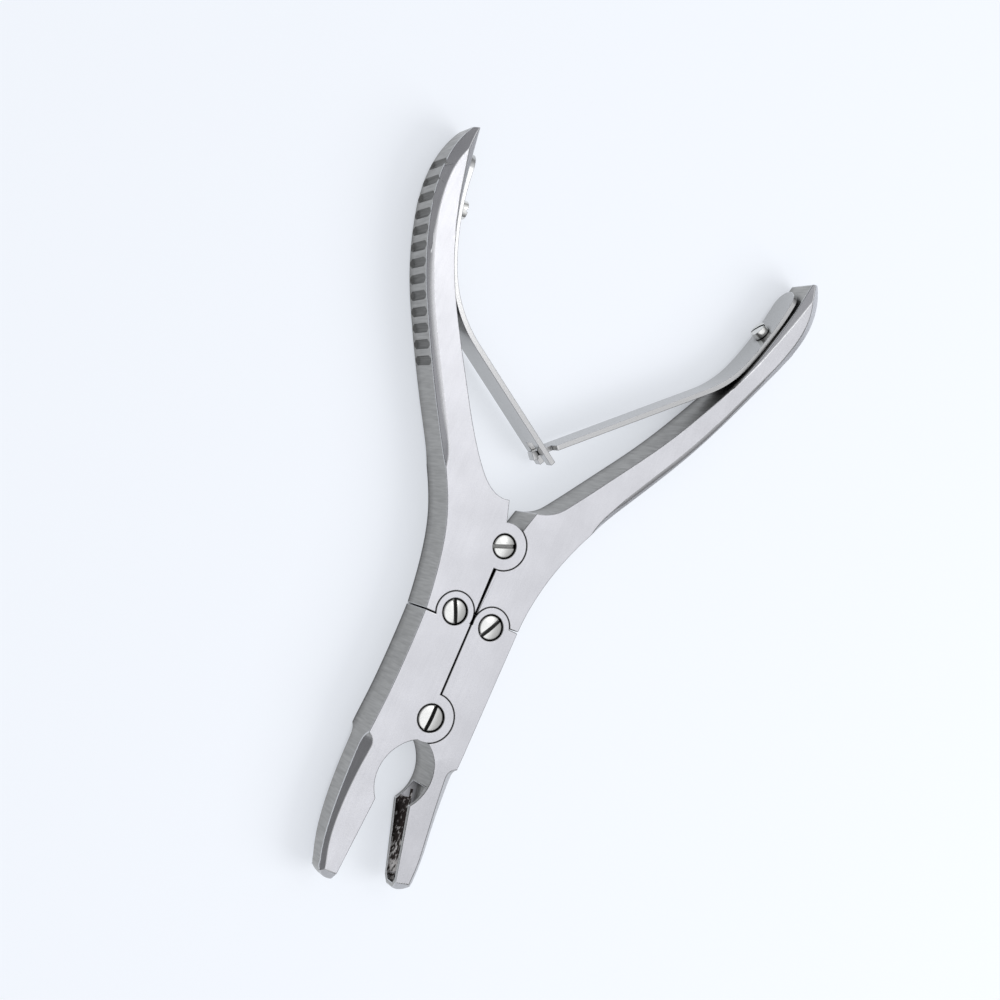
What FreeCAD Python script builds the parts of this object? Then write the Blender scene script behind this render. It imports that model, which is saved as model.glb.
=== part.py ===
import FreeCAD, Part
import math
import os

# Double-action bone rongeur, lying flat and fully open. All sizes are in millimetres.
# The origin is where the axis of the handle pivot meets the surface it lies on.
# +Y runs from the jaws to the handles, +Z is up. In the outlines, u is the distance out from
# the centre line to either side, and y is the height along it.

# Thickness and running gaps
THICKNESS = 11.5
SEAM_GAP = 0.30
SEAM_TOP_GAP = 0.80
OUTER_SEAM_GAP = 0.30
LAP_FACE_GAP = 0.10
LAP_RIM_GAP = 0.15
SEAM_CORNER_RELIEF = 1.1

# Pivots: handles and jaws are four links, hinged at the corners of a kite
PIVOT_SPACING = 41.8
LINK_HALF_SPAN = 4.85
LINK_SETBACK = 18.0
HANDLE_LAP_RADIUS = 5.5
JAW_LAP_RADIUS = 5.6
LINK_LAP_RADIUS = 4.6

# Pivot screws
HANDLE_HEAD_RADIUS = 2.70
JAW_HEAD_RADIUS = 3.05
LINK_HEAD_RADIUS = 2.85
HEAD_DEPTH = 1.9
HEAD_CROWN = 0.22
HEAD_CROWN_RING = 1.1
HEAD_RIM_GAP = 0.22
SHANK_RADIUS = 1.7
SHANK_CLEARANCE = 0.10
SLOT_WIDTH = 0.85
SLOT_DEPTH = 0.9
HANDLE_SLOT_ANGLE = 22.0
JAW_SLOT_ANGLE = 88.0
LEFT_LINK_SLOT_ANGLE = 116.0
RIGHT_LINK_SLOT_ANGLE = 61.0

# Handle arms: stations are distance along the arm from the handle pivot and offset outwards
# The widths of a bevel are those at its start, middle and end
ARM_LEAN = 28.0
ARM_BEVEL_SLOPE = 0.65
ARM_BEVEL_FADE = 0.15
OUTER_BEVEL_WIDTHS = (2.2, 1.0, 2.8)
INNER_BEVEL_WIDTHS = (-0.3, 0.3, 2.2)
GROOVE_COUNT = 13
GROOVE_PITCH = 3.6
GROOVE_RADIUS = 1.3
GROOVE_DEPTH = 0.55
GROOVE_EVEN_HEIGHT = 7.0
GROOVE_HEIGHT = 9.4
NOTCH_CORNER_Y = 10.0
NOTCH_FOOT_Y = 4.9

# Jaws
JAW_TIP_THICKNESS = 7.0
NOSE_THICKNESS = 4.0
NOSE_BEVEL = 1.6
JAW_BEVEL_WIDTHS = (2.4, 1.3, 1.0)
JAW_BEVEL_SLOPE = 1.0
JAW_BEVEL_FADE = 0.12
CUP_ROOT_RADIUS = 4.2
CUP_TIP_RADIUS = 2.7
CUP_END_RADIUS = 1.5
CUP_END_LENGTH = 1.3
CUP_ROOT_DEPTH = 3.0
CUP_TIP_DEPTH = 2.2
CUP_TIP_WALL = 1.0

# Leaf springs and their screws
SPRING_THICKNESS = 1.3
SPRING_WIDTH = 8.0
SPRING_BEND_RADIUS = 30.0
SPRING_SEAT_GAP = 0.05
SPRING_LEAVING_GAP = 0.15
SPRING_HEAD_GAP = 0.10
FORK_SLOT_WIDTH = 3.2
FORK_SLOT_LENGTH = 6.4
TONGUE_WIDTH = 2.4
TONGUE_LENGTH = 5.2
TONGUE_HOOK = 1.4
SPRING_HEAD_RADIUS = 2.1
SPRING_HEAD_HEIGHT = 1.9
SPRING_SHANK_RADIUS = 1.1
SPRING_SHANK_LENGTH = 4.2
SPRING_SLOT_WIDTH = 0.6
SPRING_SLOT_DEPTH = 0.6
SPRING_SLOT_ANGLE = 20.0

# How far cutting shapes stand clear of what they cut, and how finely bevels are followed
CUTTER_REACH = 2.0
CUTTER_RUNOUT = 0.3
BEVEL_SECTIONS = 8

LEFT = {
    "side": -1,
    "seam_y": -19.9,
    "box_outline": [(13.4, -8.5), (15.9, 0.5)],
    "arm_outer": [(18.0, 13.6), (34.0, 15.0), (50.0, 16.0), (62.0, 16.1), (73.0, 14.7), (82.0, 12.1),
                  (89.0, 8.0), (93.6, 2.9)],
    "arm_inner": [(18.0, 4.6), (34.0, 7.4), (50.0, 9.1), (62.0, 9.6), (74.0, 8.0), (84.0, 4.9),
                  (93.4, 1.4)],
    "heel": [(5.6, 9.7), (9.6, 11.2)],
    "notch_corner_u": 3.4,
    "notch_foot_u": 1.7,
    "first_groove": 42.5,
    "box_width": 11.7,
    "jaw_outline": [(11.6, -33.0), (11.9, -42.0), (12.4, -49.5), (12.5, -57.0), (12.1, -66.0),
                    (11.0, -74.5)],
    "crease": ((12.4, -48.3), (5.0, -50.4)),
    "nose": [(9.6, -79.6), (7.8, -82.4), (5.1, -82.6)],
    "hole": [(0.9, -47.3), (6.6, -56.4), (4.3, -62.6)],
    "spring_top": (88.5, 0.5),
    "spring_screw": 76.5,
    "spring_leaves": 63.0,
    "spring_nearest": 0.5294,
    "spring_end": (3.9, 22.2),
}
RIGHT = {
    "side": 1,
    "seam_y": -16.4,
    "box_outline": [(13.0, -5.5), (15.3, 2.2)],
    "arm_outer": [(18.0, 11.8), (34.0, 12.5), (50.0, 13.2), (64.0, 12.9), (76.0, 12.2), (88.0, 11.3),
                  (97.0, 9.2), (103.0, 5.6), (105.8, 1.8)],
    "arm_inner": [(18.0, 3.0), (32.0, 4.9), (48.0, 6.7), (62.0, 7.2), (75.0, 6.9), (87.0, 5.0), (96.0, 3.0),
                  (104.5, 0.6)],
    "heel": [(6.3, 10.6), (9.8, 12.9)],
    "notch_corner_u": 4.2,
    "notch_foot_u": 2.7,
    "first_groove": 44.5,
    "box_width": 11.6,
    "jaw_outline": [(11.3, -33.0), (11.2, -42.0), (11.2, -50.0), (11.5, -58.0), (12.2, -65.5), (13.1, -72.5)],
    "crease": ((11.2, -46.4), (5.0, -50.2)),
    "nose": [(13.3, -76.6), (12.0, -79.4), (9.4, -79.9)],
    "hole": [(1.4, -46.9), (6.3, -54.2), (4.1, -61.5)],
    "spring_top": (101.0, 0.9),
    "spring_screw": 88.0,
    "spring_leaves": 78.0,
    "spring_nearest": 0.4348,
    "spring_end": (3.2, 25.9),
}

MID = THICKNESS / 2
FAR = 3 * THICKNESS
HANDLE_PIVOT = FreeCAD.Vector(0, 0, 0)
JAW_PIVOT = FreeCAD.Vector(0, -PIVOT_SPACING, 0)
UP = FreeCAD.Vector(0, 0, 1)


# Places and simple shapes
def link_pivot(half):
    return FreeCAD.Vector(half["side"] * LINK_HALF_SPAN, -LINK_SETBACK, 0)


def at(half, u, y, z=0.0):
    return FreeCAD.Vector(half["side"] * u, y, z)


def arm_at(half, distance, offset, z=0.0):
    lean = math.radians(ARM_LEAN)
    u = distance * math.sin(lean) + offset * math.cos(lean)
    y = distance * math.cos(lean) - offset * math.sin(lean)
    return at(half, u, y, z)


def offset_at(stations, distance):
    """Offset of a handle edge at a distance along the arm, between its stations."""
    for (near, near_offset), (far, far_offset) in zip(stations, stations[1:]):
        if distance <= far:
            break
    return near_offset + (far_offset - near_offset) * (distance - near) / (far - near)


def spline(points):
    curve = Part.BSplineCurve()
    curve.interpolate(points)
    return curve


def lines(points):
    return [Part.makeLine(a, b) for a, b in zip(points, points[1:])]


def prism(edges, bottom, top):
    wire = Part.Wire(Part.__sortEdges__(edges))
    face = Part.Face(wire)
    face.translate(UP * bottom)
    return face.extrude(UP * (top - bottom))


def disc(centre, radius, bottom, top):
    base = FreeCAD.Vector(centre.x, centre.y, bottom)
    return Part.makeCylinder(radius, top - bottom, base, UP)


def mirrored_below(shape):
    """The same shape on the underside, mirrored in the middle plane of the thickness."""
    return shape.mirror(UP * MID, UP)


def inward_normal(half, curve, parameter):
    """Unit vector in the plan, square to the curve and pointing to the centre line's side."""
    tangent = curve.tangent(parameter)[0]
    normal = FreeCAD.Vector(-tangent.y, tangent.x, 0)
    normal.normalize()
    if normal.x * half["side"] > 0:
        normal = normal * -1
    return normal


def bevel_width(widths, share, fade):
    """Width at a share of the length: a parabola through start, middle and end, faded in."""
    first, middle, last = widths
    width = first * (1 - share) * (1 - 2 * share) + last * share * (2 * share - 1)
    width += 4 * middle * share * (1 - share)
    ramp = min(1.0, share / fade)
    return width * ramp - CUTTER_RUNOUT * (1 - ramp)


def bevel_cutter(half, curve, start, inwards, widths, slope, fade, drop):
    """A wedge along a top edge, from a start on its curve to the curve's end.

    inwards is 1 for an outer edge and -1 for an inner one. The edge sinks by drop to the end.
    """
    stop = curve.LastParameter
    sections = []
    for index in range(BEVEL_SECTIONS + 1):
        share = index / BEVEL_SECTIONS
        parameter = start + (stop - start) * share
        point = curve.value(parameter)
        inward = inward_normal(half, curve, parameter) * inwards
        bevel = bevel_width(widths, share, fade)
        level = THICKNESS - drop * share
        high = point + inward * (bevel + CUTTER_RUNOUT) + UP * (level + CUTTER_RUNOUT * slope)
        low = point - inward * CUTTER_REACH + UP * (level - slope * (bevel + CUTTER_REACH))
        above_low = point - inward * CUTTER_REACH + UP * (THICKNESS + CUTTER_REACH)
        above_high = high + UP * (THICKNESS + CUTTER_REACH - high.z)
        sections.append(Part.makePolygon([high, low, above_low, above_high, high]))
    past_end = sections[-1].copy()
    past_end.translate(curve.tangent(stop)[0] * CUTTER_REACH)
    return Part.makeLoft(sections + [past_end], True, False)


# Laps: at each pivot half of one piece lies on half of the other
def lap_levels(upper):
    """Bottom and top of a piece's own lap, the lower or the upper half of the thickness."""
    if upper:
        return MID + LAP_FACE_GAP / 2, THICKNESS
    return 0, MID - LAP_FACE_GAP / 2


def lapped(blank, laps):
    """Cuts the pocket of the mating lap and adds this piece's own lap disc at each pivot.

    Each lap is its centre, its rim radius, and True where this piece has the upper half.
    """
    for centre, radius, upper in laps:
        own_bottom, own_top = lap_levels(upper)
        if upper:
            pocket = disc(centre, radius + LAP_RIM_GAP, -CUTTER_REACH, own_bottom)
        else:
            pocket = disc(centre, radius + LAP_RIM_GAP, own_top, THICKNESS + CUTTER_REACH)
        blank = blank.cut(pocket).fuse(disc(centre, radius, own_bottom, own_top))
    return blank.removeSplitter()


def screw_hole(centre, head_radius, upper):
    """Counterbore and running hole in the upper lap, or the screwed hole in the lower lap."""
    if upper:
        sink = disc(centre, head_radius + HEAD_RIM_GAP, THICKNESS - HEAD_DEPTH, THICKNESS + CUTTER_REACH)
        return sink.fuse(disc(centre, SHANK_RADIUS + SHANK_CLEARANCE, 0, THICKNESS))
    return disc(centre, SHANK_RADIUS, -CUTTER_REACH, THICKNESS)


def drilled(piece, holes):
    return piece.cut([screw_hole(*hole) for hole in holes])


# Handles
def handle_outer_curve(half):
    points = [at(half, half["box_width"], half["seam_y"])]
    points += [at(half, u, y) for u, y in half["box_outline"]]
    points += [arm_at(half, s, w) for s, w in half["arm_outer"]]
    return spline(points)


def handle_inner_curve(half):
    points = [at(half, half["notch_corner_u"], NOTCH_CORNER_Y)]
    points += [at(half, u, y) for u, y in half["heel"]]
    points += [arm_at(half, s, w) for s, w in half["arm_inner"]]
    return spline(points)


def inner_face_at(half, distance):
    """Point on the inner edge of the arm at a distance along it, and the way out of the handle."""
    inner = handle_inner_curve(half)
    parameter = inner.parameter(arm_at(half, distance, offset_at(half["arm_inner"], distance)))
    return inner.value(parameter), inward_normal(half, inner, parameter)


def handle_plan(half):
    outer = handle_outer_curve(half)
    inner = handle_inner_curve(half)
    tip = Part.makeLine(outer.value(outer.LastParameter), inner.value(inner.LastParameter))
    relief_y = -LINK_SETBACK + SEAM_CORNER_RELIEF
    corners = [
        at(half, half["notch_corner_u"], NOTCH_CORNER_Y),
        at(half, half["notch_foot_u"], NOTCH_FOOT_Y),
        at(half, SEAM_TOP_GAP / 2, 0),
        at(half, SEAM_GAP / 2, relief_y),
        at(half, LINK_HALF_SPAN, relief_y),
        at(half, LINK_HALF_SPAN, half["seam_y"]),
        at(half, half["box_width"], half["seam_y"]),
    ]
    return prism([outer.toShape(), tip, inner.toShape()] + lines(corners), 0, THICKNESS)


def groove_cutter():
    """A round cutter that stands on edge, tapered at both ends so that the groove fades out.

    Each taper runs on past the place where the groove has faded out, by half its length again.
    """
    overrun = 1.5
    even = GROOVE_EVEN_HEIGHT / 2
    taper_height = (GROOVE_HEIGHT - GROOVE_EVEN_HEIGHT) / 2 * overrun
    end_radius = GROOVE_RADIUS - GROOVE_DEPTH * overrun
    middle = Part.makeCylinder(GROOVE_RADIUS, GROOVE_EVEN_HEIGHT, UP * -even, UP)
    above = Part.makeCone(GROOVE_RADIUS, end_radius, taper_height, UP * even, UP)
    below = Part.makeCone(GROOVE_RADIUS, end_radius, taper_height, UP * -even, UP * -1)
    return middle.fuse([above, below])


def groove_cutters(half):
    outer = handle_outer_curve(half)
    cutters = []
    for index in range(GROOVE_COUNT):
        distance = half["first_groove"] + index * GROOVE_PITCH
        parameter = outer.parameter(arm_at(half, distance, offset_at(half["arm_outer"], distance)))
        outward = inward_normal(half, outer, parameter) * -1
        cutter = groove_cutter()
        cutter.translate(outer.value(parameter) + outward * (GROOVE_RADIUS - GROOVE_DEPTH) + UP * MID)
        cutters.append(cutter)
    return cutters


def arm_bevel(half, curve, stations, first, inwards, widths):
    start = curve.parameter(arm_at(half, *stations[first]))
    return bevel_cutter(half, curve, start, inwards, widths, ARM_BEVEL_SLOPE, ARM_BEVEL_FADE, 0)


def make_handle(half, laps):
    outer = arm_bevel(half, handle_outer_curve(half), half["arm_outer"], 0, 1, OUTER_BEVEL_WIDTHS)
    inner = arm_bevel(half, handle_inner_curve(half), half["arm_inner"], 2, -1, INNER_BEVEL_WIDTHS)
    bevels = [outer, inner, mirrored_below(outer), mirrored_below(inner)]
    blank = handle_plan(half).cut(bevels + groove_cutters(half))
    return lapped(blank, laps).cut(spring_screw_shank(half))


# Jaws
def jaw_outer_curve(half):
    points = [at(half, half["box_width"], half["seam_y"] - OUTER_SEAM_GAP)]
    points += [at(half, u, y) for u, y in half["jaw_outline"]]
    points += [at(half, *half["nose"][0])]
    return spline(points)


def jaw_plan(half):
    outer = jaw_outer_curve(half)
    nose = Part.Arc(*[at(half, u, y) for u, y in half["nose"]])
    hole = Part.Arc(*[at(half, u, y) for u, y in half["hole"]])
    relief_y = -LINK_SETBACK - SEAM_CORNER_RELIEF
    cut_edge = lines([at(half, *half["nose"][2]), at(half, *half["hole"][2])])
    corners = [
        at(half, *half["hole"][0]),
        at(half, SEAM_GAP / 2, -PIVOT_SPACING),
        at(half, SEAM_GAP / 2, relief_y),
        at(half, LINK_HALF_SPAN, relief_y),
        at(half, LINK_HALF_SPAN, half["seam_y"] - OUTER_SEAM_GAP),
        at(half, half["box_width"], half["seam_y"] - OUTER_SEAM_GAP),
    ]
    return prism([outer.toShape(), nose.toShape(), hole.toShape()] + cut_edge + lines(corners), 0, THICKNESS)


def above_plane(first, second, third):
    """A slab that fills the space above the plane through three points."""
    normal = (second - first).cross(third - first)
    normal.normalize()
    if normal.z < 0:
        normal = normal * -1
    along = second - first
    along.normalize()
    across = normal.cross(along)
    corners = [
        first + (along * a + across * b) * 4 * FAR
        for a, b in ((-1, -1), (1, -1), (1, 1), (-1, 1), (-1, -1))
    ]
    return Part.Face(Part.makePolygon(corners)).extrude(normal * FAR)


def jaw_top_slope(half):
    (u1, y1), (u2, y2) = half["crease"]
    tip_u, tip_y = half["nose"][2]
    return above_plane(
        at(half, u1, y1, THICKNESS),
        at(half, u2, y2, THICKNESS),
        at(half, tip_u, tip_y + NOSE_BEVEL, MID + JAW_TIP_THICKNESS / 2),
    )


def nose_bevel(half):
    (out_u, out_y), (front_u, front_y), (tip_u, tip_y) = half["nose"]
    across = (front_y - tip_y) / (front_u - tip_u)
    return above_plane(
        at(half, tip_u, tip_y, MID + NOSE_THICKNESS / 2),
        at(half, out_u, tip_y + (out_u - tip_u) * across, MID + NOSE_THICKNESS / 2),
        at(half, tip_u, tip_y + NOSE_BEVEL, MID + JAW_TIP_THICKNESS / 2),
    )


def cup_cutter(half):
    """The spoon inside the jaw: a tapered gouge with a blunt end, open to the cutting edge."""
    root = at(half, *half["hole"][2], MID)
    tip = at(half, *half["nose"][2], MID)
    along = tip - root
    length = along.Length - CUP_TIP_WALL - CUP_END_LENGTH
    along.normalize()
    outward = FreeCAD.Vector(-along.y, along.x, 0) * -half["side"]
    start = root - along * CUP_ROOT_RADIUS + outward * (CUP_ROOT_DEPTH - CUP_ROOT_RADIUS)
    end = root + along * length + outward * (CUP_TIP_DEPTH - CUP_TIP_RADIUS)
    axis = end - start
    gouge = Part.makeCone(CUP_ROOT_RADIUS, CUP_TIP_RADIUS, axis.Length, start, axis)
    return gouge.fuse(Part.makeCone(CUP_TIP_RADIUS, CUP_END_RADIUS, CUP_END_LENGTH, end, axis))


def make_jaw(half, laps):
    outer = jaw_outer_curve(half)
    start = outer.parameter(at(half, *half["jaw_outline"][2]))
    drop = (THICKNESS - JAW_TIP_THICKNESS) / 2
    bevel = bevel_cutter(half, outer, start, 1, JAW_BEVEL_WIDTHS, JAW_BEVEL_SLOPE, JAW_BEVEL_FADE, drop)
    top_cuts = [jaw_top_slope(half), nose_bevel(half), bevel]
    cuts = top_cuts + [mirrored_below(cut) for cut in top_cuts]
    return lapped(jaw_plan(half).cut(cuts + [cup_cutter(half)]), laps)


# Screws
def crowned_head(radius, height, slot_width, slot_depth, slot_angle):
    """Round slotted head standing on z = 0, its rim at the height and its crown a little above."""
    rim = Part.makeCylinder(radius, height)
    crown = Part.makeCone(radius, radius - HEAD_CROWN_RING, HEAD_CROWN, UP * height, UP)
    length = 3 * radius
    corner = FreeCAD.Vector(-length / 2, -slot_width / 2, height + HEAD_CROWN - slot_depth)
    slot = Part.makeBox(length, slot_width, 2 * slot_depth, corner)
    slot.rotate(FreeCAD.Vector(0, 0, 0), UP, slot_angle)
    return rim.fuse(crown).cut(slot)


def make_pivot_screw(centre, head_radius, slot_angle):
    seat = THICKNESS - HEAD_DEPTH + LAP_FACE_GAP / 2
    head = crowned_head(head_radius, THICKNESS - seat, SLOT_WIDTH, SLOT_DEPTH, slot_angle)
    head.translate(UP * seat)
    screw = Part.makeCylinder(SHANK_RADIUS, seat).fuse(head).removeSplitter()
    screw.translate(centre)
    return screw


def spring_seat(half):
    """Where the spring screw's head bears on the leaf, and the direction into the handle."""
    point, out = inner_face_at(half, half["spring_screw"])
    touches, centre = clamped_arc(half)
    across = (point - centre).dot(out)
    radius = (touches[0] - centre).Length
    to_middle_line = -across - math.sqrt(across**2 - (point - centre).Length ** 2 + radius**2)
    lift = to_middle_line + SPRING_THICKNESS / 2 + SPRING_HEAD_GAP
    return point + UP * MID + out * lift, out * -1


def spring_screw_shank(half):
    seat, into = spring_seat(half)
    return Part.makeCylinder(SPRING_SHANK_RADIUS, SPRING_SHANK_LENGTH, seat, into)


def make_spring_screw(half):
    seat, into = spring_seat(half)
    head = crowned_head(
        SPRING_HEAD_RADIUS, SPRING_HEAD_HEIGHT, SPRING_SLOT_WIDTH, SPRING_SLOT_DEPTH, SPRING_SLOT_ANGLE
    )
    head.Placement = FreeCAD.Placement(seat, FreeCAD.Rotation(UP, into * -1))
    return head.fuse(spring_screw_shank(half)).removeSplitter()


# Leaf springs: each is clamped along its handle, bends off it and runs straight to the other
def clamped_arc(half):
    """Middle line of the clamped stretch: an arc through its top end, nearest point and last touch.

    It comes nearest to the handle at a share of the way from its last touch to its top end.
    """
    top = half["spring_top"][0]
    leaves = half["spring_leaves"]
    touches = [
        half["spring_top"],
        (leaves + (top - leaves) * half["spring_nearest"], SPRING_SEAT_GAP),
        (leaves, SPRING_LEAVING_GAP),
    ]
    points = []
    for distance, gap in touches:
        point, out = inner_face_at(half, distance)
        points.append(point + out * (SPRING_THICKNESS / 2 + gap))
    return points, Part.Circle(*points).Center


def bend_arc(half):
    """Middle line of the bend: a round arc from the last touch, tangent to the run to the end."""
    touches, clamp_centre = clamped_arc(half)
    leaves = touches[2]
    centre = leaves + (clamp_centre - leaves).normalize() * SPRING_BEND_RADIUS
    reach = FreeCAD.Vector(*half["spring_end"], 0) - centre
    angle = math.degrees(math.acos(SPRING_BEND_RADIUS / reach.Length)) * half["side"]
    to_straight = FreeCAD.Rotation(UP, angle).multVec(reach).normalize()
    to_middle = (to_straight + (leaves - centre).normalize()).normalize()
    points = [leaves, centre + to_middle * SPRING_BEND_RADIUS, centre + to_straight * SPRING_BEND_RADIUS]
    return points, centre


def shifted(points, centre, shift):
    return [point + (point - centre).normalize() * shift for point in points]


def leaf_edge(half, shift):
    """The middle line moved towards its handle by a shift: two arcs and the straight run."""
    clamp_points, clamp_centre = clamped_arc(half)
    bend_points, bend_centre = bend_arc(half)
    clamp = Part.Arc(*shifted(clamp_points, clamp_centre, shift))
    bend = Part.Arc(*shifted(bend_points, bend_centre, shift))
    straight_start = shifted(bend_points, bend_centre, shift)[2]
    end = FreeCAD.Vector(*half["spring_end"], 0) + (bend_points[2] - bend_centre).normalize() * shift
    return [clamp.toShape(), bend.toShape(), Part.makeLine(straight_start, end)]


def round_end_cutter(half):
    """What is left of a block round the leaf's top end when its half-round end is taken out."""
    points, centre = clamped_arc(half)
    top = points[0]
    outwards = (top - centre).normalize()
    along = FreeCAD.Vector(-outwards.y, outwards.x, 0) * half["side"]
    radius = SPRING_WIDTH / 2
    corner = FreeCAD.Vector(0, -CUTTER_REACH, -radius - CUTTER_REACH)
    block = Part.makeBox(radius + CUTTER_REACH, 2 * CUTTER_REACH, SPRING_WIDTH + 2 * CUTTER_REACH, corner)
    across = FreeCAD.Vector(0, 1, 0)
    cutter = block.cut(Part.makeCylinder(radius, 2 * CUTTER_REACH, across * -CUTTER_REACH, across))
    turn = FreeCAD.Rotation(UP, math.degrees(math.atan2(along.y, along.x)))
    cutter.Placement = FreeCAD.Placement(top - along * radius + UP * MID, turn)
    return cutter


def spring_leaf(half):
    """The leaf stands on edge: both faces are its middle line moved by half its thickness."""
    near = leaf_edge(half, -SPRING_THICKNESS / 2)
    far = leaf_edge(half, SPRING_THICKNESS / 2)
    ends = [
        Part.makeLine(near[0].Vertexes[0].Point, far[0].Vertexes[0].Point),
        Part.makeLine(near[2].Vertexes[1].Point, far[2].Vertexes[1].Point),
    ]
    leaf = prism(near + far + ends, MID - SPRING_WIDTH / 2, MID + SPRING_WIDTH / 2)
    seat, into = spring_seat(half)
    hole = Part.makeCylinder(SPRING_SHANK_RADIUS + SHANK_CLEARANCE, SPRING_SHANK_LENGTH, seat, into)
    hole.translate(into * -SPRING_THICKNESS)
    return leaf.cut([hole, round_end_cutter(half)])


def straight_run(half):
    """Free end of the leaf and the direction of its straight run."""
    points, centre = bend_arc(half)
    end = FreeCAD.Vector(*half["spring_end"], 0)
    return end, (end - points[2]).normalize()


def make_forked_spring(half):
    """The left leaf ends in a fork that straddles the other leaf's tongue."""
    end, along = straight_run(half)
    across = FreeCAD.Vector(-along.y, along.x, 0) * SPRING_THICKNESS
    start = end - along * FORK_SLOT_LENGTH + UP * (MID - FORK_SLOT_WIDTH / 2)
    stop = start + along * 2 * FORK_SLOT_LENGTH
    corners = [start - across, stop - across, stop + across, start + across, start - across]
    slot = Part.Face(Part.makePolygon(corners)).extrude(UP * FORK_SLOT_WIDTH)
    return spring_leaf(half).cut(slot)


def make_tongued_spring(half):
    """The right leaf ends in a narrow tongue whose hook catches behind the fork."""
    end, along = straight_run(half)
    across = FreeCAD.Vector(-along.y, along.x, 0)
    side = across * (SPRING_THICKNESS / 2)
    hook = end + along * TONGUE_LENGTH
    corners = [
        end - along - side,
        hook - side,
        hook + across * TONGUE_HOOK,
        hook + across * TONGUE_HOOK - along * SPRING_THICKNESS,
        hook + side - along * SPRING_THICKNESS,
        end - along + side,
        end - along - side,
    ]
    tongue = Part.Face(Part.makePolygon(corners)).extrude(UP * TONGUE_WIDTH)
    tongue.translate(UP * (MID - TONGUE_WIDTH / 2))
    return spring_leaf(half).fuse(tongue).removeSplitter()


def make_parts():
    left_link = link_pivot(LEFT)
    right_link = link_pivot(RIGHT)
    left_handle = make_handle(
        LEFT, [(HANDLE_PIVOT, HANDLE_LAP_RADIUS, True), (left_link, LINK_LAP_RADIUS, False)]
    )
    right_handle = make_handle(
        RIGHT, [(HANDLE_PIVOT, HANDLE_LAP_RADIUS, False), (right_link, LINK_LAP_RADIUS, False)]
    )
    left_jaw = make_jaw(LEFT, [(JAW_PIVOT, JAW_LAP_RADIUS, True), (left_link, LINK_LAP_RADIUS, True)])
    right_jaw = make_jaw(RIGHT, [(JAW_PIVOT, JAW_LAP_RADIUS, False), (right_link, LINK_LAP_RADIUS, True)])
    return {
        "left_handle": drilled(
            left_handle, [(HANDLE_PIVOT, HANDLE_HEAD_RADIUS, True), (left_link, LINK_HEAD_RADIUS, False)]
        ),
        "right_handle": drilled(
            right_handle, [(HANDLE_PIVOT, HANDLE_HEAD_RADIUS, False), (right_link, LINK_HEAD_RADIUS, False)]
        ),
        "left_jaw": drilled(
            left_jaw, [(JAW_PIVOT, JAW_HEAD_RADIUS, True), (left_link, LINK_HEAD_RADIUS, True)]
        ),
        "right_jaw": drilled(
            right_jaw, [(JAW_PIVOT, JAW_HEAD_RADIUS, False), (right_link, LINK_HEAD_RADIUS, True)]
        ),
        "handle_pivot_screw": make_pivot_screw(HANDLE_PIVOT, HANDLE_HEAD_RADIUS, HANDLE_SLOT_ANGLE),
        "jaw_pivot_screw": make_pivot_screw(JAW_PIVOT, JAW_HEAD_RADIUS, JAW_SLOT_ANGLE),
        "left_link_screw": make_pivot_screw(left_link, LINK_HEAD_RADIUS, LEFT_LINK_SLOT_ANGLE),
        "right_link_screw": make_pivot_screw(right_link, LINK_HEAD_RADIUS, RIGHT_LINK_SLOT_ANGLE),
        "left_spring": make_forked_spring(LEFT),
        "right_spring": make_tongued_spring(RIGHT),
        "left_spring_screw": make_spring_screw(LEFT),
        "right_spring_screw": make_spring_screw(RIGHT),
    }


os.makedirs("parts", exist_ok=True)
for name, shape in make_parts().items():
    shape.exportStep("parts/" + name + ".step")
    box = shape.BoundBox
    print(name, "solids", len(shape.Solids), "valid", shape.isValid(), "volume", round(shape.Volume, 1),
          "x", round(box.XMin, 1), round(box.XMax, 1), "y", round(box.YMin, 1), round(box.YMax, 1),
          "z", round(box.ZMin, 2), round(box.ZMax, 2))
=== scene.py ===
# %% [markdown]
# # A double-action bone rongeur
# Four forged steel levers, four slotted pivot screws and two crossed leaf springs lie on a pale
# table, fully open. The construction comes from the imported model, the frame. This lesson gives
# each piece its surface: satin faces, cross-brushed walls, polished edges, near-black cups with
# painted shade and painted glints, bright screws and sprung leaves sliced into short lengths.

# %% Load the frame
import math

import bmesh
import bpy
import numpy as np
from mathutils import Matrix, Vector


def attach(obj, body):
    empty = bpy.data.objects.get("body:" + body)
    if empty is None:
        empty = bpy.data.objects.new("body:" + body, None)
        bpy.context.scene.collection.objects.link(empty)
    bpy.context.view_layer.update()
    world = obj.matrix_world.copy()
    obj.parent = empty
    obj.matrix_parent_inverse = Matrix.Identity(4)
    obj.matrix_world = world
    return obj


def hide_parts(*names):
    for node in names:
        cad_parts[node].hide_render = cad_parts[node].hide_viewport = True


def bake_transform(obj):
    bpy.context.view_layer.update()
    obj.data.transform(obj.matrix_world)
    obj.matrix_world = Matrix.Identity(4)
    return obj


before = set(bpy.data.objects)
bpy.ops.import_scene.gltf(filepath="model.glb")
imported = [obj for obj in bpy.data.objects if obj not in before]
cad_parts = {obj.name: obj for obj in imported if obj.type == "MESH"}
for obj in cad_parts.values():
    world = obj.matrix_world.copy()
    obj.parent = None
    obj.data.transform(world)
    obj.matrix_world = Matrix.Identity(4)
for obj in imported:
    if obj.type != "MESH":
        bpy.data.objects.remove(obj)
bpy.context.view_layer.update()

MM = 0.001
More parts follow.
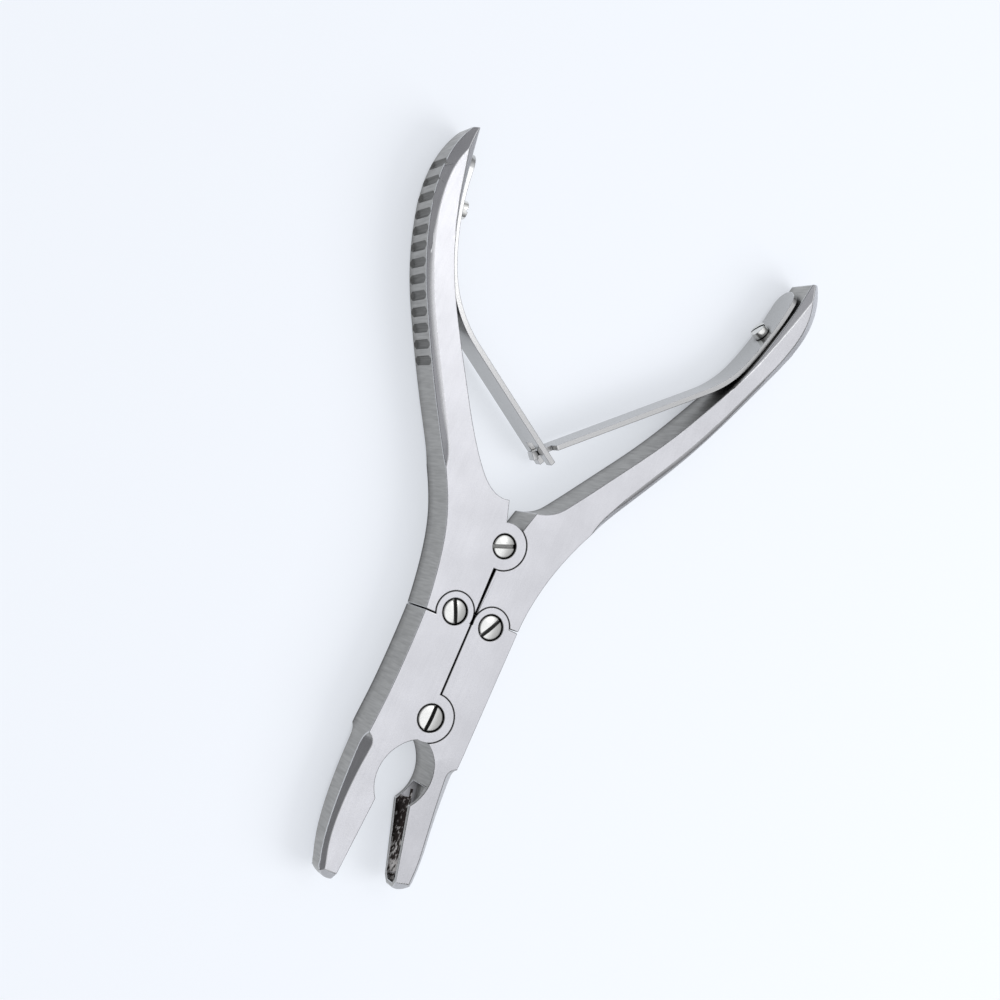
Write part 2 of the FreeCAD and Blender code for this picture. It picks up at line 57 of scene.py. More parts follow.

# %% [markdown]
# ## Colours and nodes
# Colours are given in sRGB, as hex values, and a renderer counts in linear light, so one
# function turns one into the other. Another adds a shader node, sets its values and links its
# inputs, which keeps each material as short as a recipe.


# %% Helpers for materials
def linear(hex_colour):
    """Linear RGBA of an sRGB colour such as C8C8CE: each channel to the power of about 2.2."""
    channels = np.array([int(hex_colour[i:i + 2], 16) / 255 for i in (0, 2, 4)])
    curved = ((channels + 0.055) / 1.055) ** 2.4
    return (*np.where(channels <= 0.04045, channels / 12.92, curved), 1.0)


def node(tree, kind, inputs=None, **settings):
    """Adds a node: settings are its own options, inputs are values or sockets by name or number."""
    made = tree.nodes.new("ShaderNode" + kind)
    for key, value in settings.items():
        setattr(made, key, value)
    for key, value in (inputs or {}).items():
        if isinstance(value, bpy.types.NodeSocket):
            tree.links.new(value, made.inputs[key])
        else:
            made.inputs[key].default_value = value
    return made


def new_material(name):
    """An empty material and its node tree."""
    material = bpy.data.materials.new(name)
    material.use_nodes = True
    material.node_tree.nodes.clear()
    return material, material.node_tree


# %% [markdown]
# ## Satin stainless steel
# The levers are forged martensitic stainless steel. Their flat faces were ground and then glass
# blasted to a satin that does not dazzle a surgeon: a fine, even grain with faint lengthways
# grinding marks below it. The walls were dressed on a belt across their height, so they are
# streaked, and their darker tone is partly that finish and partly painted shade. Both are one
# steel, and the direction of the face chooses between them. Seams and counterbores get painted
# shade from an ambient occlusion node of their own depth, and the feet of the walls get painted
# shade that darkens them towards the table.

# %% Satin steel for the levers
GRAIN_MM = 0.16  # real blasting is 0.05 mm, drawn as coarse as the render can show
GRIND_LENGTH_MM = 7.0
GRIND_WIDTH_MM = 0.35
BELT_PER_MM = 2.2
BELT_STRETCH = 0.08
CLOUD_MM = 9.0
RECESS_MM = 1.6
FOOT_MM = 3.5
MARKS = {1: 0.3, 2: 0.7}  # the range of a noise that its map starts from


def satin_steel(name, face_tone, wall_tone_and_shade):
    """Tone times four maps: noise of the grain or the belt, a slow cloud, painted shade from
    ambient occlusion in recesses, and painted shade at the foot of the walls.

    Face and wall tones are mixed by how upright the normal is, from 0.45 to 0.85 of its length.
    The darker wall tone is partly the belt finish and partly painted shade.
    """
    material, tree = new_material(name)
    place = node(tree, "TexCoord").outputs["Object"]
    normal = node(tree, "NewGeometry").outputs["Normal"]
    facing = node(tree, "SeparateXYZ", {0: normal}).outputs["Z"]
    upright = node(tree, "Math", {0: facing}, operation="ABSOLUTE").outputs[0]
    flat = node(
        tree, "MapRange", {0: upright, 1: 0.45, 2: 0.85}, interpolation_type="SMOOTHSTEP"
    ).outputs[0]

    def noise(vector, scale, detail):
        inputs = {"Vector": vector, "Scale": scale, "Detail": detail}
        return node(tree, "TexNoise", inputs).outputs[0]

    grain = noise(place, 1 / (GRAIN_MM * MM), 3.0)
    ways = (1 / GRIND_WIDTH_MM, 1 / GRIND_LENGTH_MM, 1.0)
    grind = noise(node(tree, "Mapping", {0: place, 3: ways}).outputs[0], 1 / MM, 2.0)
    upwards = node(tree, "Mapping", {0: place, 3: (1.0, 1.0, BELT_STRETCH)}).outputs[0]
    belt = noise(upwards, BELT_PER_MM / MM, 4.0)
    cloud = noise(place, 1 / (CLOUD_MM * MM), 2.0)

    face_marks = node(tree, "Mix", {0: 0.15, 2: grain, 3: grind}).outputs[0]
    marks = node(tree, "Mix", {0: flat, 2: belt, 3: face_marks}).outputs[0]
    # The darker wall tone is partly the belt finish and partly painted shade.
    tones = {0: flat, 6: linear(wall_tone_and_shade), 7: linear(face_tone)}
    shade = node(tree, "Mix", tones, data_type="RGBA").outputs[2]
    # Painted shade: ambient occlusion darkens the colour in seams, counterbores and grooves.
    open_air = node(tree, "AmbientOcclusion", {"Distance": RECESS_MM * MM}, samples=8).outputs["AO"]
    painted_recess_shade = node(tree, "MapRange", {0: open_air, 1: 0.45, 2: 0.95, 3: 0.12, 4: 1.0}).outputs[0]
    light = node(tree, "MapRange", {0: marks, **MARKS, 3: 0.86, 4: 1.08}).outputs[0]
    clouded = node(tree, "MapRange", {0: cloud, **MARKS, 3: 0.95, 4: 1.04}).outputs[0]
    # Painted shade: the walls darken towards the table over their lowest few millimetres.
    level = node(tree, "SeparateXYZ", {0: place}).outputs["Z"]
    foot = node(tree, "MapRange", {0: level, 1: 0.0, 2: FOOT_MM * MM, 3: 0.55, 4: 1.0}).outputs[0]
    footed = node(tree, "Mix", {0: flat, 2: foot, 3: 1.0}).outputs[0]
    shaded = node(tree, "Math", {0: light, 1: clouded}, operation="MULTIPLY").outputs[0]
    both = node(tree, "Math", {0: shaded, 1: footed}, operation="MULTIPLY").outputs[0]
    tone_with_painted_shade = node(tree, "Math", {0: both, 1: painted_recess_shade}, operation="MULTIPLY").outputs[0]
    colour = node(tree, "VectorMath", {0: shade, "Scale": tone_with_painted_shade}, operation="SCALE").outputs[0]
    # A blasted face spreads the light widely; where a mark has burnished it, a little less.
    rough = node(tree, "MapRange", {0: marks, **MARKS, 3: 0.42, 4: 0.30}).outputs[0]
    relief = node(
        tree, "Bump", {"Height": marks, "Strength": 0.25, "Distance": 0.02 * MM}
    ).outputs[0]
    steel = node(tree, "BsdfPrincipled", {
        "Base Color": colour, "Metallic": 1.0, "Roughness": rough, "Normal": relief,
    })
    node(tree, "OutputMaterial", {0: steel.outputs[0]})
    return material


# %% [markdown]
# ## Polished steel
# Edges that hands and other tools rub, the turned screw heads and the leaf springs are brighter
# than the satin faces. The screw heads were turned and have the sharpest gloss. The leaves were
# polished along their length, and the edges are only rubbed, so their gloss is softer. One
# function makes all three, from a tone, a roughness and the way in which the marks run.

# %% Polished steels
POLISH_MM = 0.3


def polished_steel(name, tone, roughness, stretch):
    """Bright metal whose faint marks are noise stretched along the way it was polished."""
    material, tree = new_material(name)
    place = node(tree, "TexCoord").outputs["Object"]
    along = node(tree, "Mapping", {0: place, 3: stretch}).outputs[0]
    marks = node(
        tree, "TexNoise", {"Vector": along, "Scale": 1 / (POLISH_MM * MM), "Detail": 3.0}
    ).outputs[0]
    light = node(tree, "MapRange", {0: marks, **MARKS, 3: 0.94, 4: 1.04}).outputs[0]
    # Painted shade: ambient occlusion darkens the colour in recesses.
    open_air = node(tree, "AmbientOcclusion", {"Distance": RECESS_MM * MM}, samples=8).outputs["AO"]
    painted_recess_shade = node(tree, "MapRange", {0: open_air, 1: 0.30, 2: 0.85, 3: 0.05, 4: 1.0}).outputs[0]
    tone_with_painted_shade = node(tree, "Math", {0: light, 1: painted_recess_shade}, operation="MULTIPLY").outputs[0]
    shade = {0: linear(tone)[:3], "Scale": tone_with_painted_shade}
    colour = node(tree, "VectorMath", shade, operation="SCALE").outputs[0]
    # Low roughness is what makes it shine: the room and the lamps stay readable in it.
    rough = node(
        tree, "MapRange", {0: marks, **MARKS, 3: roughness * 1.3, 4: roughness * 0.8}
    ).outputs[0]
    relief = node(
        tree, "Bump", {"Height": marks, "Strength": 0.12, "Distance": 0.01 * MM}
    ).outputs[0]
    steel = node(tree, "BsdfPrincipled", {
        "Base Color": colour, "Metallic": 1.0, "Roughness": rough, "Normal": relief,
    })
    node(tree, "OutputMaterial", {0: steel.outputs[0]})
    return material


# %% [markdown]
# ## Steel of the cups
# The cups behind the cutting edges are gouged out and never polished. Their near-black tone is
# painted shade and painted reflection, and the bright flecks, mostly near the tips, are painted
# glints. A long noise with a threshold tells the flecks from the dark, and the same noise as a bump
# makes them rough.

# %% Steel of the cups
CUP_MARK_MM = 0.45
CUP_STRETCH = 0.35
BRIGHT_FROM_MM, BRIGHT_TO_MM = -66.0, -74.0


def cup_steel():
    """Nearly black metal, painted shade and reflection, with painted glints where a long noise
    passes a threshold, more of them near the tip.
    """
    material, tree = new_material("cup_steel_painted_shade_and_glints")
    place = node(tree, "TexCoord").outputs["Object"]
    along = node(tree, "Mapping", {0: place, 3: (1.0, CUP_STRETCH, 1.0)}).outputs[0]
    marks = node(
        tree, "TexNoise", {"Vector": along, "Scale": 1 / (CUP_MARK_MM * MM), "Detail": 4.0}
    ).outputs[0]
    way = node(tree, "SeparateXYZ", {0: place}).outputs["Y"]
    # Painted glints: the noise is raised towards the tip, and a threshold sets its bright flecks.
    tipwards = node(
        tree, "MapRange", {0: way, 1: BRIGHT_FROM_MM * MM, 2: BRIGHT_TO_MM * MM, 3: 0.0, 4: 0.12}
    ).outputs[0]
    raised = node(tree, "Math", {0: marks, 1: tipwards}, operation="ADD").outputs[0]
    painted_glint = node(tree, "MapRange", {0: raised, 1: 0.57, 2: 0.66}).outputs[0]
    # The near-black tone is painted shade and painted reflection; the bright tone is painted glint.
    tones = {0: painted_glint, 6: linear("4A4442"), 7: linear("F2EFEC")}
    tone = node(tree, "Mix", tones, data_type="RGBA").outputs[2]
    relief = node(
        tree, "Bump", {"Height": marks, "Strength": 0.9, "Distance": 0.15 * MM}
    ).outputs[0]
    steel = node(tree, "BsdfPrincipled", {
        "Base Color": tone, "Metallic": 1.0, "Roughness": 0.34, "Normal": relief,
    })
    node(tree, "OutputMaterial", {0: steel.outputs[0]})
    return material


# %% The finishes
satin = satin_steel("satin_blasted_stainless", "DADADD", "A9A8A5")
# The grooves' darker steel is painted shade.
groove_shade_steel = satin_steel("groove_stainless_painted_shade", "9A9998", "747370")
# The cups' near-black steel is painted shade and painted reflection, with painted glints.
cup_shade_and_glint_steel = cup_steel()
edge_steel = polished_steel("burnished_edge_steel", "CBCBCC", 0.25, (1.0, 0.2, 1.0))
screw_steel = polished_steel("turned_screw_steel", "E2E2DE", 0.16, (1.0, 1.0, 1.0))
leaf_steel = polished_steel("polished_spring_steel", "BEBEBD", 0.20, (1.0, 1.0, 4.0))
print("materials", [material.name for material in bpy.data.materials])

# %% [markdown]
# ## Dressing a machined piece
# The frame's levers have the right shape, but their edges are as sharp as a drawing. A real edge
# is broken by a file or a polishing wheel, and the bright line along it is what tells the eye
# that this is metal. The frame's own meshes are left alone: a copy is welded, its flat triangles
# are joined, and a bevel rounds every edge and gives it the burnished steel. One bevel could
# have one width only, so each edge carries a weight: the soft crease along the outer side of a
# handle, which the polishing wheel rolls over, is three times as wide as the others and fades
# towards the tip, and the edges of the milled grooves stay crisp.

# %% Which edges are broken, and how wide
SHARP_DEGREES = 28.0
CREASE_DEGREES = 50.0
CREASE_TIMES = 3.4
CREASE_FROM_MM = 20.0
CREASE_FADES_MM = (45.0, 62.0)
FLAT_UPRIGHT = 0.999
HOLLOW_CUP, KEPT_CRISP = 2, 3  # material indices


def mark_broken_edges(mesh, crisp):
    """Bevel weight of each sharp edge: 1 on the handles' outer crease, falling along Y to its
    share of that, that share on other edges, and none beside a crisp face."""
    form = bmesh.new()
    form.from_mesh(mesh)
    weights = form.edges.layers.float.new("bevel_weight_edge")
    for edge in form.edges:
        turn = math.degrees(edge.calc_face_angle(0.0))
        if turn <= SHARP_DEGREES or any(crisp[face.index] for face in edge.link_faces):
            continue
        place = min(corner.co.y for corner in edge.verts) / MM
        outwards = [
            face.normal.x * edge.verts[0].co.x
            for face in edge.link_faces if abs(face.normal.z) < FLAT_UPRIGHT
        ]
        crease = turn < CREASE_DEGREES and place > CREASE_FROM_MM and min(outwards, default=-1) > 0
        edge[weights] = 1 / CREASE_TIMES
        if crease:
            edge[weights] = float(np.interp(place, CREASE_FADES_MM, (1.0, 1 / CREASE_TIMES)))
    form.to_mesh(mesh)
    form.free()


# %% Rounded copies of the frame's pieces
WELD_MM = 0.004
SLIVER_MM = 0.02
FLAT_DEGREES = 0.6
HANDLE_CUTS_MM = (7.3, 21.3, 35.3, 49.3, 63.3, 77.3)
CUT_SNAP_MM = 0.3
BEVEL_STEPS = 3
FLATNESS = 80


def welded_copy(source, name):
    """The frame node's mesh with corners merged and flat triangles joined. Its long flat faces
    are then cut across the handles, because one face with a hundred corners is cut into
    triangles badly once it is bevelled."""
    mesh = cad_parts[source].data.copy()
    mesh.name = name
    form = bmesh.new()
    form.from_mesh(mesh)
    bmesh.ops.remove_doubles(form, verts=form.verts, dist=WELD_MM * MM)
    bmesh.ops.dissolve_limit(
        form, angle_limit=math.radians(FLAT_DEGREES), verts=form.verts, edges=form.edges
    )
    bmesh.ops.dissolve_degenerate(form, dist=SLIVER_MM * MM, edges=form.edges)
    for place in HANDLE_CUTS_MM:
        flat = [face for face in form.faces if abs(face.normal.z) > FLAT_UPRIGHT]
        rims = {edge for face in flat for edge in face.edges}
        corners = {corner for face in flat for corner in face.verts}
        bmesh.ops.bisect_plane(
            form, geom=flat + list(rims) + list(corners), dist=CUT_SNAP_MM * MM,
            plane_co=(0, place * MM, 0), plane_no=(0, 1, 0),
        )
    form.to_mesh(mesh)
    form.free()
    mesh.polygons.foreach_set("use_smooth", np.ones(len(mesh.polygons), bool))
    return mesh


def machined_piece(source, name, body, edge_mm, steels, hollow=None):
    """A welded copy of a frame node with rounded edges. Steels are its faces' and its edges'.

    Hollow is a rule that picks faces of the mesh, their steel, and its material index.
    """
    mesh = welded_copy(source, name)
    mesh.materials.clear()
    for steel in steels:
        mesh.materials.append(steel)
    indices = np.zeros(len(mesh.polygons), np.int32)
    if hollow:
        rule, hollow_steel, index = hollow
        while len(mesh.materials) <= index:
            mesh.materials.append(hollow_steel)
        indices[rule(mesh)] = index
    mesh.polygons.foreach_set("material_index", indices)
    mesh.set_sharp_from_angle(angle=math.radians(SHARP_DEGREES))
    mark_broken_edges(mesh, indices == KEPT_CRISP)
    piece = bpy.data.objects.new(name, mesh)
    bpy.context.scene.collection.objects.link(piece)
    bevel = piece.modifiers.new("broken edges", "BEVEL")
    bevel.width = edge_mm * CREASE_TIMES * MM
    bevel.segments = BEVEL_STEPS
    bevel.limit_method = "WEIGHT"
    bevel.use_clamp_overlap = False
    bevel.material = len(steels) - 1
    weigh = piece.modifiers.new("flat faces stay flat", "WEIGHTED_NORMAL")
    weigh.keep_sharp = True
    weigh.weight = FLATNESS
    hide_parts(source)
    if body:
        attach(piece, body)
    print(name, "faces", len(mesh.polygons), "edge", edge_mm, "mm")
    return piece


# %% [markdown]
# ## Faces that have a steel of their own
# The grooves that the thumb rests in are milled after the handles were blasted, and the cups are
# cut with a round gouge. Both get a darker steel, which is painted shade, and the cups also get
# painted glints. They are part of the forging, so they are found on it: each face is measured,
# and a rule picks the ones that only such a tool can have cut.

# %% The faces of the grooves
GROOVE_STRIP_MM = 0.32
GROOVES_FROM_MM = 25.0
OUTER_SIDE_MM = -2.0
UPRIGHT_WALL = 0.15
STEEPEST_TAPER = 0.6


def read(elements, name, width=1):
    """One attribute of all elements of a mesh as an array with a row for each."""
    values = np.empty(len(elements) * width)
    elements.foreach_get(name, values)
    return values.reshape(-1, width) if width > 1 else values


def face_measures(mesh):
    """Centre in millimetres, normal, and width in millimetres, area over height, of each face.

    Height is the highest less the lowest corner: the corners of a face stand in a row in the
    mesh's loops, so a maximum and a minimum over each row give it.
    """
    faces = mesh.polygons
    levels = read(mesh.vertices, "co", 3)[read(mesh.loops, "vertex_index").astype(int), 2]
    starts = read(faces, "loop_start").astype(int)
    heights = np.maximum.reduceat(levels, starts) - np.minimum.reduceat(levels, starts)
    widths = read(faces, "area") / np.maximum(heights, WELD_MM * MM) / MM
    return read(faces, "center", 3) / MM, read(faces, "normal", 3), widths


def groove_rule(mesh):
    """Picks the narrow upright strips and the tapered ends of the grooves on the outer side."""
    centres, normals, widths = face_measures(mesh)
    lean = np.abs(normals[:, 2])
    outer = (normals[:, 0] * centres[:, 0] > OUTER_SIDE_MM) & (centres[:, 1] > GROOVES_FROM_MM)
    strip = (lean < UPRIGHT_WALL) & (widths < GROOVE_STRIP_MM)
    taper = (lean > UPRIGHT_WALL) & (lean < STEEPEST_TAPER)
    return outer & (strip | taper)


# %% The faces of the cups
MID_MM = 5.75
CUP_LINES_MM = {
    "left_jaw": ((-4.3, -62.6), (-5.1, -82.6)), "right_jaw": ((4.1, -61.5), (9.4, -79.9))
}
CUP_AXIS_OFFSET_MM = 0.9
CUP_DEPTH_MM = 0.05
CUP_REACH_MM = 4.6
CUP_RUNOUT_MM = -5.0
AIMED_IN_CUP, AIMED_IN_RUNOUT = 0.6, 0.80


def cup_rule(jaw):
    """Picks faces behind the cutting edge whose normals point at the gouge's axis.

    The axis runs beside the line from the edge's root to its tip, and the gouge runs out past
    the root, into the wall of the round relief.
    """
    root, tip = [np.array([*place, MID_MM]) for place in CUP_LINES_MM[jaw]]
    along = (tip - root) / np.linalg.norm(tip - root)
    outward = np.array([-along[1], along[0], 0.0])
    outward *= np.sign(outward[0] * root[0])

    def picks(mesh):
        centres, normals, _ = face_measures(mesh)
        reach = (centres - root) @ along
        depth = (centres - root) @ outward
        to_axis = root + reach[:, None] * along - CUP_AXIS_OFFSET_MM * outward - centres
        distance = np.linalg.norm(to_axis, axis=1)
        aligned = np.einsum("ij,ij->i", normals, to_axis) / distance
        aimed = aligned > np.where(reach > 0, AIMED_IN_CUP, AIMED_IN_RUNOUT)
        near = (distance < CUP_REACH_MM) & (reach > CUP_RUNOUT_MM)
        return aimed & near & (depth > CUP_DEPTH_MM)

    return picks


# %% The four levers
LEVER_EDGE_MM = 0.18
for side in ("left", "right"):
    handle, jaw = side + "_handle", side + "_jaw"
    hollows = {
        handle: (groove_rule, groove_shade_steel, KEPT_CRISP), jaw: (cup_rule(jaw), cup_shade_and_glint_steel, HOLLOW_CUP)
    }
    for lever, hollow in hollows.items():
        machined_piece(
            lever, lever + "_forging", lever, LEVER_EDGE_MM,
            [satin, edge_steel], hollow,
        )

# %% [markdown]
# ## Screws
# Four slotted pivot screws sit flush in their counterbores and two smaller ones clamp the
# springs. They are turned from bar, so their heads are brighter than anything round them. A
# domed head with a slot could be a bevelled disc with a box cut out of it, but a cut leaves long
# thin triangles that ruin the gloss of a dome. So the head is a grid whose columns run along the
# slot: the columns beside it stand at two heights, and the slot's walls come by themselves.

# %% Surfaces from grids
def grid_faces(rows, columns, closed):
    """Quads between neighbouring rows and columns of points; a closed grid joins its last column
    to its first."""
    row, column = np.mgrid[0:rows - 1, 0:columns if closed else columns - 1]
    beside = (column + 1) % columns
    corners = [row * columns + column, row * columns + beside,
               (row + 1) * columns + beside, (row + 1) * columns + column]
    return np.stack(corners, axis=-1).reshape(-1, 4)


def closed_mesh(name, sheets, sharp_degrees):
    """One mesh from sheets of (points, faces): seams and poles merged, faces turned outwards."""
    firsts = np.cumsum([0] + [len(points) for points, _ in sheets[:-1]])
    corners = np.concatenate([points for points, _ in sheets])
    quads = np.concatenate([faces + first for (_, faces), first in zip(sheets, firsts)])
    mesh = bpy.data.meshes.new(name)
    mesh.from_pydata(corners.tolist(), [], quads.tolist())
    form = bmesh.new()
    form.from_mesh(mesh)
    bmesh.ops.remove_doubles(form, verts=form.verts, dist=WELD_MM * MM)
    bmesh.ops.dissolve_degenerate(form, dist=WELD_MM * MM, edges=form.edges)
    bmesh.ops.recalc_face_normals(form, faces=form.faces)
    form.to_mesh(mesh)
    form.free()
    mesh.polygons.foreach_set("use_smooth", np.ones(len(mesh.polygons), bool))
    mesh.set_sharp_from_angle(angle=math.radians(sharp_degrees))
    return mesh


# %% A slotted screw
CROWN_TOP_MM = 11.72
CROWN_MM = 0.42
RIM_ROUND_MM = 0.35
RIM_DROP_MM = 0.22
SLOT_WIDE_MM = 0.95
SLOT_FLOOR_MM = 10.5
SEAT_MM = 9.65
SHANK_MM = 1.7
HEAD_COLUMNS = 14
HEAD_ROWS = 33
HEAD_SHARP_DEGREES = 35


def slotted_screw(name, source, body, centre, radius, slot_degrees):
    """Columns run along the slot. Height is the crown less a parabola of the distance from the
    axis, less a steeper one at the rim, and the slot's floor where the slot is. The outline of
    the head is then carried down to the seat, in to the shank and down to its end."""
    swell = 1 - np.cos(np.linspace(0, np.pi / 2, HEAD_COLUMNS))
    flank = -radius + (radius - SLOT_WIDE_MM / 2) * swell
    across = np.concatenate([flank, flank[-1:], -flank[-1:], -flank[::-1]])
    column = np.arange(len(across))
    in_slot = (column >= HEAD_COLUMNS) & (column < HEAD_COLUMNS + 2)
    along = np.sin(np.linspace(-np.pi / 2, np.pi / 2, HEAD_ROWS))
    x = np.repeat(across[:, None], HEAD_ROWS, axis=1)
    y = along * np.sqrt(radius ** 2 - x ** 2)
    out = np.hypot(x, y)
    rim = np.clip((out - radius + RIM_ROUND_MM) / RIM_ROUND_MM, 0, 1)
    crown = CROWN_TOP_MM - CROWN_MM * (out / radius) ** 2 - RIM_DROP_MM * rim ** 2
    z = np.where(in_slot[:, None], SLOT_FLOOR_MM, crown)
    head = np.stack([x, y, z], axis=-1)

    outline = np.concatenate([head[:, -1], head[::-1, 0]])
    shank = SHANK_MM / radius
    levels = ((1, SEAT_MM), (shank, SEAT_MM), (shank, 0), (0, 0))
    lower = [outline * (scale, scale, 0) + (0, 0, height) for scale, height in levels]
    body_points = np.stack([outline, *lower])

    turn = math.radians(slot_degrees - 90)
    spin = np.array(Matrix.Rotation(-turn, 3, "Z"))
    sheets = []
    for points, closed in ((head, False), (body_points, True)):
        placed = (points.reshape(-1, 3) @ spin + (*centre, 0)) * MM
        sheets.append((placed, grid_faces(points.shape[0], points.shape[1], closed)))
    mesh = closed_mesh(name, sheets, HEAD_SHARP_DEGREES)
    mesh.materials.append(screw_steel)
    screw = bpy.data.objects.new(name, mesh)
    bpy.context.scene.collection.objects.link(screw)
    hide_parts(source)
    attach(screw, body)
    print(name, "faces", len(mesh.polygons))
    return screw


# %% The four pivot screws
PIVOT_SCREWS = {  # the body it turns with, centre and radius in mm, direction of the slot
    "handle_pivot": ("right_handle", (0.0, 0.0), 2.70, 22.0),
    "jaw_pivot": ("right_jaw", (0.0, -41.8), 3.05, 88.0),
    "left_link": ("left_handle", (-4.85, -18.0), 2.85, 116.0),
    "right_link": ("right_handle", (4.85, -18.0), 2.85, 61.0),
}
for pivot, (body, centre, radius, slot_degrees) in PIVOT_SCREWS.items():
    slotted_screw(
        pivot + "_turned_screw", pivot + "_screw", body, centre, radius, slot_degrees
    )

# %% [markdown]
# The two screws that clamp the leaves are small, and their slots and rims are in the frame's
# own solids, so they are dressed as the levers are, with a finer edge.

# %% The two spring screws
SCREW_EDGE_MM = 0.07
for side in ("left", "right"):
    machined_piece(
        side + "_spring_screw", side + "_spring_turned_screw", side + "_handle",
        SCREW_EDGE_MM, [screw_steel, edge_steel],
    )

# %% [markdown]
# ## Leaf springs
# Each leaf is clamped to its handle and meets the other between the handles. As the handles
# close, the real leaves bend and their ends stay together on the centre line. A mesh can only bend
# where it has corners, so the leaf is sliced into short lengths.

# %% Slice the leaves
LEAF_EDGE_MM = 0.14
LEAF_SLICE_MM = 1.2
LEAF_LEAVES_MM = {"left": (-37.0, 50.6), "right": (42.0, 64.8)}
LEAF_ENDS_MM = {"left": (3.9, 22.2), "right": (3.2, 25.9)}


def sliced(mesh, start, end, step):
    """Cuts a mesh by planes square to the line from start to end, a step apart."""
    along = (end - start).normalized()
    places = read(mesh.vertices, "co", 3) @ np.array(along)
    form = bmesh.new()
    form.from_mesh(mesh)
    for place in np.arange(places.min() + step, places.max(), step):
        everything = form.verts[:] + form.edges[:] + form.faces[:]
        bmesh.ops.bisect_plane(form, geom=everything, plane_co=along * place, plane_no=along)
    form.to_mesh(mesh)
    form.free()


for side, other in (("left", "right"), ("right", "left")):
    leaf = machined_piece(
        side + "_spring", side + "_leaf_spring", None, LEAF_EDGE_MM,
        [leaf_steel, edge_steel],
    )
    leaves = Vector((*LEAF_LEAVES_MM[side], 0)) * MM
    ends = Vector((*LEAF_ENDS_MM[side], 0)) * MM
    sliced(leaf.data, leaves, ends, LEAF_SLICE_MM * MM)
    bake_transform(leaf)
    print(leaf.name, "cut into", len(leaf.data.polygons), "faces")

# %% [markdown]
# ## Table and light
# The table is white laminate and fills the picture. A wide window on the right makes soft
# shadows fall to the left of each lever, and the pale room lights the rest. Polished metal has
# no look of its own: it shows what is round it, so the room is brightest overhead, darker at the
# horizon and darkest on the left, which gives the chamfers on that side their tone. The table
# shines a little by itself to the camera and in reflections, as an over-lit studio table does,
# except close to the steel, where the shadow stays.

# %% Table
TABLE_RADIUS = 4.0
TABLE_SIDES = 96
TABLE_GLOW = 0.6
TABLE_WHITE = "F4F8FE"
SHADE_REACH_MM = 12.0


def table_top():
    """A disc: its rim is the radius times cosine and sine of the angle, at height nought."""
    angles = np.linspace(0, 2 * np.pi, TABLE_SIDES, endpoint=False)
    rim = TABLE_RADIUS * np.stack([np.cos(angles), np.sin(angles), 0 * angles], axis=1)
    mesh = bpy.data.meshes.new("table_top")
    mesh.from_pydata(rim.tolist(), [], [list(range(TABLE_SIDES))])
    top = bpy.data.objects.new("table_top", mesh)
    bpy.context.scene.collection.objects.link(top)
    material, tree = new_material("white_laminate")
    paint = node(tree, "BsdfPrincipled", {"Base Color": linear(TABLE_WHITE), "Roughness": 0.9})
    white = node(tree, "Emission", {"Color": linear(TABLE_WHITE), "Strength": 1.0})
    path = node(tree, "LightPath").outputs
    rays = {0: path["Is Camera Ray"], 1: path["Is Glossy Ray"]}
    seen = node(tree, "Math", rays, operation="MAXIMUM").outputs[0]
    near = {"Distance": SHADE_REACH_MM * MM}
    open_air = node(tree, "AmbientOcclusion", near, samples=8).outputs["AO"]
    clear = node(
        tree, "MapRange", {0: open_air, 1: 0.02, 2: 0.30, 3: 0.0, 4: TABLE_GLOW}
    ).outputs[0]
    share = node(tree, "Math", {0: seen, 1: clear}, operation="MULTIPLY").outputs[0]
    mixed = node(tree, "MixShader", {0: share, 1: paint.outputs[0], 2: white.outputs[0]})
    node(tree, "OutputMaterial", {0: mixed.outputs[0]})
    mesh.materials.append(material)
    return top


table_top()

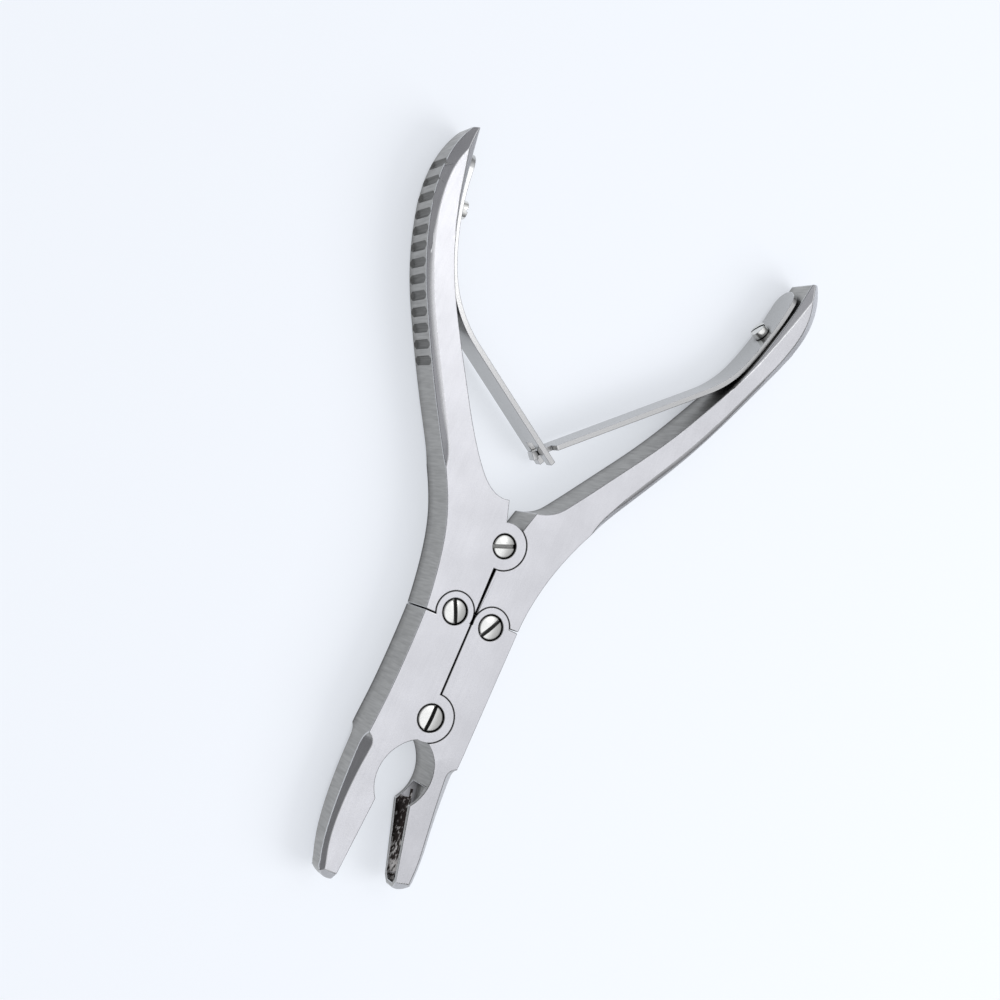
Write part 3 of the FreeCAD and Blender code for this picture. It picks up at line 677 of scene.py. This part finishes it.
# %% Sky
world = bpy.data.worlds.new("pale_room")
bpy.context.scene.world = world
world.use_nodes = True
world.node_tree.nodes.clear()
sky = world.node_tree
direction = node(sky, "TexCoord").outputs["Generated"]
heading = node(sky, "SeparateXYZ", {0: direction}).outputs
rising, left_side, right_side = [
    node(
        sky, "MapRange", {0: heading[axis], 1: start, 2: end, 3: low, 4: high},
        interpolation_type="SMOOTHSTEP",
    ).outputs[0]
    for axis, start, end, low, high in (
        ("Z", 0.25, 0.85, 0.45, 1.25), ("X", -0.6, 0.1, 0.3, 1.0), ("X", 0.3, 0.7, 1.0, 0.55)
    )
]
across_room = node(sky, "Math", {0: left_side, 1: right_side}, operation="MULTIPLY").outputs[0]
glow = node(sky, "Math", {0: rising, 1: across_room}, operation="MULTIPLY").outputs[0]
room = node(sky, "Background", {"Color": linear("FAFBFF"), "Strength": glow})
backdrop = node(sky, "Background", {"Color": linear("F4F9FF"), "Strength": 1.0})
seen = node(sky, "LightPath").outputs["Is Camera Ray"]
mixed = node(sky, "MixShader", {0: seen, 1: room.outputs[0], 2: backdrop.outputs[0]})
node(sky, "OutputWorld", {0: mixed.outputs[0]})


# %% Lamps
def lamp(name, place, aim, size, watts):
    """An area lamp at a place, turned so that its own -Z points at the aim. Lengths in metres."""
    light = bpy.data.lights.new(name, "AREA")
    light.shape = "RECTANGLE"
    light.size, light.size_y = size
    light.energy = watts
    holder = bpy.data.objects.new(name, light)
    bpy.context.scene.collection.objects.link(holder)
    holder.location = place
    holder.rotation_euler = (Vector(aim) - Vector(place)).to_track_quat("-Z", "Y").to_euler()
    return holder


window = lamp("soft_window", (0.80, 0.0, 0.70), (0.0, 0.0, 0.0), (0.7, 0.7), 6.5)
window.visible_glossy = False  # it lights the table, but its square would burn out the walls
lamp("ceiling_panel", (0.25, 0.38, 0.95), (0.0, 0.02, 0.0), (0.22, 0.22), 0.30)

# %% [markdown]
# ## Camera
# The picture was taken 36 cm away and 65 degrees above the table, from the left side of the
# instrument, with a lens a little longer than normal. The camera was turned on its side so that
# the jaws point down in the frame.

# %% Camera
LENS_MM = 55.8
CAMERA_MM = (-146.8, -33.7, 327.8)
AIM_MM = (-5.63, 9.0, 11.5)
CAMERA_ROLL_DEGREES = 98.0
camera = bpy.data.objects.new("camera", bpy.data.cameras.new("camera"))
bpy.context.scene.collection.objects.link(camera)
camera.data.lens = LENS_MM
camera.data.sensor_width = 36.0
camera.data.clip_start = 10 * MM
camera.location = Vector(CAMERA_MM) * MM
upright = (Vector(AIM_MM) - Vector(CAMERA_MM)).to_track_quat("-Z", "Y")
rolled = upright.to_matrix() @ Matrix.Rotation(math.radians(CAMERA_ROLL_DEGREES), 3, "Z")
camera.rotation_euler = rolled.to_euler()
bpy.context.scene.camera = camera
bpy.context.scene.view_settings.view_transform = "Standard"
